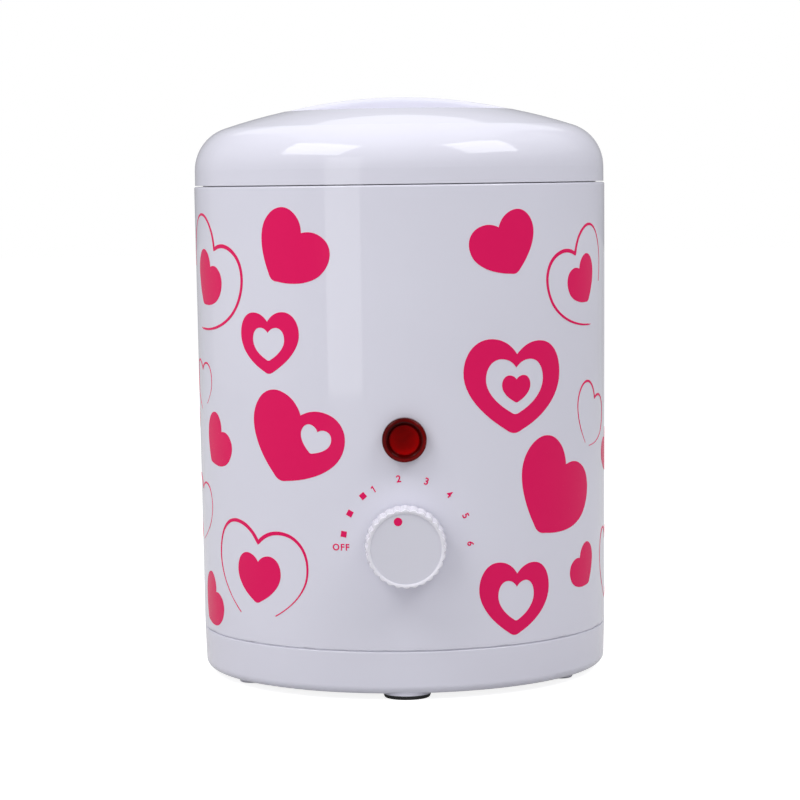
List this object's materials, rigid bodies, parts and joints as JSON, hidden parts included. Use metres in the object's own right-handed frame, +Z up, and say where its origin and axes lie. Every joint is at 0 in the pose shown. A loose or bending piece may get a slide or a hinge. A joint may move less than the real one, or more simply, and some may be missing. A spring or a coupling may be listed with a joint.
{
  "type": "wax warmer",
  "caption": "Round wax warmer with a heated well, a lift-out pot with a bail, a lift-off domed lid, a heat dial and a pilot lamp.",
  "frame": {"origin": "centre of the circle of feet, on the table", "axes": "+Z up along the housing's axis; +Y to the rear, through the cord entry; the dial and the lamp face -Y"},
  "size_m": [0.16, 0.172, 0.2235],
  "materials": {
    "white_shell": "smooth gloss",
    "white_knob": "smooth satin",
    "black_rubber": "matte",
    "zinc_steel": "zinc plated",
    "well_aluminium": "drawn, satin",
    "pot_aluminium": "spun, satin",
    "pot_steel": "polished",
    "mica": "layered mica, matte",
    "glass_fibre": "woven",
    "brass": "plain",
    "black_case": "matte",
    "copper": "drawn copper",
    "fuse_metal": "smooth",
    "red_lens": "polished",
    "lamp_white": "smooth",
    "neon_glass": "clear",
    "wire_brown": "smooth",
    "wire_blue": "smooth",
    "wire_lamp": "smooth",
    "wire_green": "smooth"
  },
  "bodies": {
    "housing": {"outer_shell": "white_shell", "base_cover": "white_shell", "rubber_feet": "black_rubber", "base_screws": "zinc_steel", "top_collar": "white_shell", "collar_screws": "zinc_steel", "heating_well": "well_aluminium", "well_clips": "zinc_steel", "well_screws": "zinc_steel", "heater_band": "mica", "heater_straps": "zinc_steel", "strap_screws": "zinc_steel", "insulation_sleeve": "glass_fibre", "insulation_pad": "glass_fibre", "shield_spacer": "zinc_steel", "heat_shield": "zinc_steel", "stud_nut": "zinc_steel", "earth_tag": "brass", "thermostat_case": "black_case", "thermostat_bracket": "zinc_steel", "thermostat_screws": "zinc_steel", "thermostat_terminals": "brass", "sensor_bulb": "copper", "capillary_tube": "copper", "sensor_clip": "zinc_steel", "thermal_fuse": "fuse_metal", "fuse_clip": "zinc_steel", "lamp_lens": "red_lens", "lamp_barrel": "lamp_white", "lamp_bulb": "neon_glass", "lamp_clip": "zinc_steel", "terminal_block": "lamp_white", "terminal_screws": "brass", "block_screws": "zinc_steel", "cord_grommet": "lamp_white", "live_wires": "wire_brown", "neutral_wire": "wire_blue", "lamp_wires": "wire_lamp", "earth_wire": "wire_green"},
    "knob": {"control_shaft": "zinc_steel", "control_knob": "white_knob", "knob_clip": "zinc_steel"},
    "pot": {"wax_pot": "pot_aluminium", "pot_ears": "pot_steel", "ear_rivets": "pot_steel"},
    "bail": {"bail_handle": "pot_steel"},
    "lid": {"lid": "white_shell"}
  },
  "joints": [
    {"name": "dial_turn", "type": "hinge", "parent": "housing", "child": "knob", "pos_m": [0, -0.085, 0.058], "axis": [0, 1, 0], "range_deg": [-76.6, 104.4]},
    {"name": "pot_lift", "type": "slide", "parent": "housing", "child": "pot", "axis": [0, 0, 1], "range_m": [0, 0.12]},
    {"name": "bail_swing", "type": "hinge", "parent": "pot", "child": "bail", "pos_m": [0, 0, 0.14975], "axis": [1, 0, 0], "range_deg": [-180, 0]},
    {"name": "lid_lift", "type": "slide", "parent": "pot", "child": "lid", "axis": [0, 0, 1], "range_m": [0, 0.12]}
  ]
}
